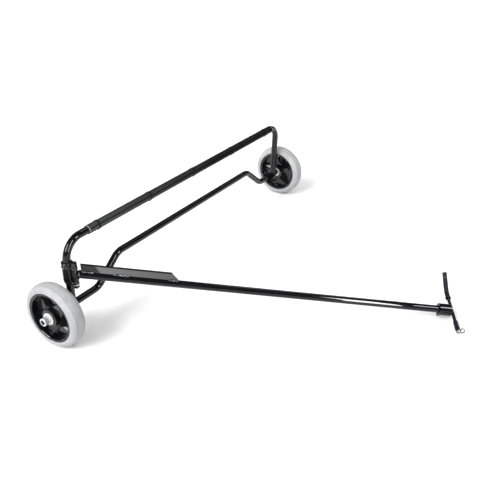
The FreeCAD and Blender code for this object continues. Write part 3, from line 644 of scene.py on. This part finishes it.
def make_tyre(side):
    name = f"{side}_tyre"
    size = extent(name)
    place = frame_at(middle(name), X_AXIS)
    points, faces = lathe(tyre_profile(size.z / 2, size.x / 2), TYRE_STEPS, place)
    tyre = mesh_piece(f"{side}_solid_tyre", points, faces, f"{side}_wheel")
    sharpen(tyre, 38)
    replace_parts(tyre, name)
    dress(tyre, tyre_rubber(side))
    dress(NODES[f"{side}_rim"], wheel_plastic(side))


for wheel_side in WHEEL_SIDES:
    make_tyre(wheel_side)


# ---- weld beads ----------------------------------------------------------------------

def bead_stations(path, wander):
    """Stations along a path of (point, rotation), nudged a little from side to side."""
    def nudge():
        return Vector((0, chance.uniform(-wander, wander), chance.uniform(-wander, wander)))

    return [(point + turn @ nudge(), turn) for point, turn in path]


def ripple_radius(radius, count, pitch=5):
    """Radius of a hand-laid bead: a scale every few stations, thin at both ends."""
    sizes = [radius * chance.uniform(0.86, 1.12) for _ in range(count)]

    def radius_at(index, angle):
        scale = 1 - 0.2 * ((index % pitch) / pitch)
        ends = min(1.0, 0.45 + 0.3 * min(index, count - 1 - index))
        return sizes[index] * scale * ends
    return radius_at


def straight_path(start, direction, length, step=BEAD_STEP):
    turn = axes_along(direction)
    count = max(6, int(length / step))
    return [(start + direction * (length * index / (count - 1)), turn) for index in range(count)]


def ring_path(centre, axis, radius, first, last, step=BEAD_STEP):
    """Arc about an axis from first to last angle in degrees."""
    base = axes_along(axis, X_AXIS if abs(axis.x) < 0.9 else Z_AXIS)
    count = max(8, int(radius * math.radians(last - first) / step))
    path = []
    for index in range(count):
        angle = math.radians(first + (last - first) * index / (count - 1))
        outward = base @ Vector((0, math.cos(angle), math.sin(angle)))
        heading = base @ Vector((0, -math.sin(angle), math.cos(angle)))
        path.append((centre + outward * radius, axes_along(heading, outward)))
    return path


def weld_bead(name, paths, radius, body, material=BEAD):
    """One piece of hand-laid beads, one along each path."""
    points, faces = [], []
    for path in paths:
        stations = bead_stations(path, radius * 0.07)
        line, skin = swept(stations, 10, ripple_radius(radius, len(path)))
        faces += [tuple(index + len(points) for index in face) for face in skin]
        points += line
    return dress(mesh_piece(name, points, faces, body), material)


tow = next(mount for mount in RECORD["mounts"] if mount["name"] == "drawbar_tow")
BAR_LINE = Vector(tow["axis"]).normalized()
BAR_POINT = Vector(tow["pos_m"])
BAR_AXES = axes_along(BAR_LINE)
BAR_SIDE, BAR_LIFT = BAR_AXES.col[1], BAR_AXES.col[2]
BAR_RADIUS = tow["dims"]["r_mm"] * MM
FIN_REACH = span("fin_plate", BAR_POINT, BAR_LINE)
FIN_FOOT = BAR_POINT + BAR_LINE * FIN_REACH[0] + BAR_LIFT * BAR_RADIUS
FIN_HEIGHT = span("fin_plate", FIN_FOOT, BAR_LIFT)[1]
FIN_LENGTH = FIN_REACH[1] - FIN_REACH[0]
FIN_SIDES = span("fin_plate", BAR_POINT, BAR_SIDE)
FIN_HALF = (FIN_SIDES[1] - FIN_SIDES[0]) / 2
dress(NODES["fin_plate"], fin_coat(FIN_FOOT, BAR_LINE, BAR_LIFT, FIN_LENGTH, FIN_HEIGHT))


def make_fin_beads():
    """A bead on each side of the fin plate's foot, at each of its three welds."""
    for number in (1, 2, 3):
        weld = f"fin_weld_{number}"
        first, last = span(weld, BAR_POINT, BAR_LINE)
        paths = []
        for side in (1, -1):
            start = (BAR_POINT + BAR_LINE * first + BAR_SIDE * side * (FIN_HALF + 1.1 * MM)
                     + BAR_LIFT * BAR_RADIUS)
            paths.append(straight_path(start, BAR_LINE, last - first))
        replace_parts(weld_bead(f"fin_bead_{number}", paths, 2.5 * MM, "drawbar"), weld)


make_fin_beads()


# ---- sleeve and ties on the upper tube -----------------------------------------------

def make_sleeve():
    """Foam tube with a slit, pinched in under each tie, and a paler ring at both cut ends, partly a
    painted highlight.
    """
    low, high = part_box("bar_sleeve")
    ties = sorted(middle(f"cable_tie_{number}").x for number in TIE_NUMBERS)
    centre = middle("bar_sleeve")
    radius = (high.y - low.y) / 2
    count, sides = 420, 56
    slit_width = math.radians(8)
    places = [low.x + (high.x - low.x) * index / (count - 1) for index in range(count)]
    stations = [(Vector((x, centre.y, centre.z)), Matrix.Identity(3)) for x in places]
    waves = [(chance.uniform(9, 30), chance.uniform(0, math.tau), chance.uniform(0.1, 0.25) * MM)
             for _ in range(4)]

    def radius_at(index, angle):
        x = stations[index][0].x
        pinch = sum(math.exp(-((x - tie) / (4.5 * MM)) ** 2) for tie in ties) * 0.7 * MM
        edge = min(x - low.x, high.x - x)
        rounding = 0.9 * MM * max(0.0, 1 - edge / (1.5 * MM)) ** 2
        sway = sum(depth * math.sin(rate * x + phase + angle) for rate, phase, depth in waves)
        groove = 1.9 * MM * math.exp(-((angle - SLIT_ANGLE) / slit_width) ** 2)
        return radius - 0.25 * MM - pinch - rounding - groove + sway * 0.5

    points, faces = swept(stations, sides, radius_at)
    sleeve = mesh_piece("foam_sleeve", points, faces, "frame")
    sharpen(sleeve, 50)
    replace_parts(dress(sleeve, FOAM), "bar_sleeve")
    edge = [(0.0, radius - 3.4 * MM), (0.0, radius - 0.5 * MM), (0.5 * MM, radius + 0.1 * MM),
            (1.1 * MM, radius - 0.2 * MM), (1.1 * MM, radius - 3.4 * MM)]
    for name, start, heading in (("near_cut_end", low.x, X_AXIS), ("far_cut_end", high.x, -X_AXIS)):
        place = frame_at(Vector((start, centre.y, centre.z)) + heading * 0.05 * MM, heading)
        ring, skin = lathe(edge, CUT_END_STEPS, place)
        dress(mesh_piece(name, ring, skin, "frame"), cut_foam_highlight())


def clamp(value, limit=1.0):
    return max(-limit, min(limit, value))


def make_tie(number):
    """Cable tie: flat strap with a small locking head underneath."""
    node = f"cable_tie_{number}"
    centre = middle("bar_sleeve")
    centre.x = middle(node).x
    outer, half = extent(node).y / 2, 2.5 * MM
    thick = 1.2 * MM
    strap = [(-half, outer - thick), (-half, outer - 0.3 * MM), (-half + 0.4 * MM, outer),
             (half - 0.4 * MM, outer), (half, outer - 0.3 * MM), (half, outer - thick)]
    points, faces = lathe(strap, TIE_STEPS, frame_at(centre, X_AXIS))
    lean = Matrix.Rotation(math.radians(168 + chance.uniform(-8, 8)), 4, "X")
    head_place = Matrix.Translation(centre) @ lean
    head = [(half * 1.15, 2.6 * MM, 0.0), (half * 0.95, 2.1 * MM, 2.0 * MM),
            (half * 0.55, 1.1 * MM, 2.6 * MM)]
    rings = [(Vector((0, 0, outer - thick + height)), wide, deep) for wide, deep, height in head]
    first = len(points)
    for base, wide, deep in rings:
        for corner in range(8):
            angle = math.tau * (corner + 0.5) / 8
            rounded = Vector((wide * clamp(1.3 * math.cos(angle)),
                              deep * clamp(1.3 * math.sin(angle)), 0))
            points.append(head_place @ (base + rounded))
    faces += grid_faces(len(rings), 8, False, True, first)
    faces.append(tuple(range(len(points) - 8, len(points))))
    tie = mesh_piece(f"zip_tie_{number}", points, faces, "frame")
    sharpen(tie, 35)
    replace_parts(dress(tie, NYLON), node)


make_sleeve()
for tie_number in TIE_NUMBERS:
    make_tie(tie_number)


# ---- welds on the frame --------------------------------------------------------------

def make_frame_welds():
    """Beads round the near leg, under the lower ear and at the top of the hinge sleeve."""
    sleeve_low, sleeve_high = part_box("hinge_sleeve")
    leg = middle("hinge_sleeve")
    leg.z = 0.0
    outer = (sleeve_high.x - sleeve_low.x) / 2
    low_ring = leg + Z_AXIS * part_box("lower_hinge_ear")[0].z
    tube = extent("leg_collar").x / 2 - 5.5 * MM
    ear_path = ring_path(low_ring, Z_AXIS, tube + 1.2 * MM, 0, 352)
    weld_bead("leg_ear_weld", [ear_path], 2.1 * MM, "frame")
    head_ring = leg + Z_AXIS * (sleeve_high.z - 0.2 * MM)
    sleeve_path = ring_path(head_ring, Z_AXIS, outer + 0.4 * MM, 70, 290)
    weld_bead("leg_sleeve_weld", [sleeve_path], 1.5 * MM, "frame")


def make_barrel_weld():
    """Two beads where the drawbar tube meets the hinge barrel."""
    joint = BAR_POINT + BAR_LINE * span("hinge_barrel", BAR_POINT, BAR_LINE)[1]
    behind = joint - BAR_LINE * 2.0 * MM
    paths = [ring_path(joint, BAR_LINE, BAR_RADIUS + 1.0 * MM, 5, 355),
             ring_path(behind, BAR_LINE, BAR_RADIUS + 0.4 * MM, 20, 340)]
    weld_bead("barrel_weld", paths, 2.0 * MM, "drawbar", GLINT_SPECK_COAT)


make_frame_welds()
make_barrel_weld()


# ---- studio --------------------------------------------------------------------------

def make_floor():
    corners = [Vector((x * FLOOR_REACH, y * FLOOR_REACH, cad_low.z))
               for x, y in ((-1, -1), (1, -1), (1, 1), (-1, 1))]
    mesh = bpy.data.meshes.new("floor")
    mesh.from_pydata(corners, [], [(0, 1, 2, 3)])
    floor = bpy.data.objects.new("floor", mesh)
    bpy.context.scene.collection.objects.link(floor)
    dress(floor, floor_paper())


def backdrop_paper():
    """Evenly lit background paper."""
    finish = Finish("backdrop_paper", 0.9, specular=0.0)
    glow = finish.mottle(finish.noise(0.2, 2.0), 0.97, 1.0)
    finish.colour(glow)
    finish.link(glow, finish.shader.inputs["Emission Color"])
    finish.shader.inputs["Emission Strength"].default_value = 1.0
    return finish.material


def make_backdrop():
    """Round wall of pale paper, far away: the camera sees it, but it doesn't light anything."""
    corners = []
    for height in (cad_low.z - 0.5, BACKDROP_TOP):
        for step in range(BACKDROP_SIDES):
            angle = math.tau * step / BACKDROP_SIDES
            corners.append(Vector((BACKDROP_REACH * math.cos(angle),
                                   BACKDROP_REACH * math.sin(angle), height)))
    mesh = bpy.data.meshes.new("backdrop")
    mesh.from_pydata(corners, [], grid_faces(2, BACKDROP_SIDES, False, True))
    backdrop = bpy.data.objects.new("backdrop", mesh)
    for ray in ("diffuse", "glossy", "transmission", "shadow"):
        setattr(backdrop, f"visible_{ray}", False)
    bpy.context.scene.collection.objects.link(backdrop)
    dress(backdrop, backdrop_paper())


def add_sun(name, towards, strength, angle, glossy):
    """Soft directional lamp; towards points from the object to the lamp."""
    lamp = bpy.data.lights.new(name, "SUN")
    lamp.energy = strength
    lamp.angle = math.radians(angle)
    holder = bpy.data.objects.new(name, lamp)
    holder.rotation_mode = "QUATERNION"
    holder.rotation_quaternion = Vector(towards).to_track_quat("Z", "Y")
    holder.location = Vector(towards) * 3
    holder.visible_glossy = glossy
    bpy.context.scene.collection.objects.link(holder)


def add_strip(name, start, end, aim, width, power):
    """Long softbox from start to end, facing aim, that only shows as a reflection."""
    start, end = Vector(start), Vector(end)
    lamp = bpy.data.lights.new(name, "AREA")
    lamp.shape = "RECTANGLE"
    lamp.size = (end - start).length
    lamp.size_y = width
    lamp.energy = power
    centre = (start + end) / 2
    along = (end - start).normalized()
    facing = (centre - Vector(aim)).normalized()
    across = facing.cross(along).normalized()
    holder = bpy.data.objects.new(name, lamp)
    turn = Matrix((along, across, along.cross(across))).transposed().to_4x4()
    holder.matrix_world = Matrix.Translation(centre) @ turn
    holder.visible_diffuse = False
    holder.visible_camera = False
    bpy.context.scene.collection.objects.link(holder)


def make_world():
    world = bpy.data.worlds.new("studio")
    world.use_nodes = True
    background = world.node_tree.nodes["Background"]
    background.inputs["Color"].default_value = (0.97, 0.98, 1.0, 1)
    background.inputs["Strength"].default_value = 0.05
    bpy.context.scene.world = world


def make_camera():
    data = bpy.data.cameras.new("camera")
    data.lens = CAMERA_LENS
    data.sensor_width = CAMERA_SENSOR
    data.clip_end = 200.0
    camera = bpy.data.objects.new("camera", data)
    camera.location = CAMERA_PLACE
    camera.rotation_mode = "QUATERNION"
    camera.rotation_quaternion = Vector(CAMERA_HEADING).to_track_quat("-Z", "Y")
    bpy.context.scene.collection.objects.link(camera)
    bpy.context.scene.camera = camera


def make_lights():
    """Key and wide fill for the shading, and three strips that draw the tubes' highlights."""
    near_leg, frame_middle = (-0.55, 0.44, 0.2), (0.2, 0.3, 0.0)
    add_sun("key", (-0.79, 0.166, 0.588), strength=3.3, angle=36, glossy=True)
    add_sun("fill", (-0.1, -0.1, 1.0), strength=2.95, angle=130, glossy=False)
    add_strip("drawbar_strip", start=(0.1, -1.71, 1.81), end=(0.75, -2.45, 1.5),
              aim=BAR_POINT, width=0.4, power=42)
    add_strip("front_strip", start=(-3.1, -4.9, 0.9), end=(-1.0, -3.8, 4.5),
              aim=near_leg, width=0.6, power=330)
    add_strip("frame_strip", start=(0.9, 0.3, 2.2), end=(3.9, 0.3, 2.2),
              aim=frame_middle, width=0.24, power=18)


make_floor()
make_backdrop()
make_world()
make_lights()
make_camera()
bpy.context.scene.view_settings.view_transform = "Standard"
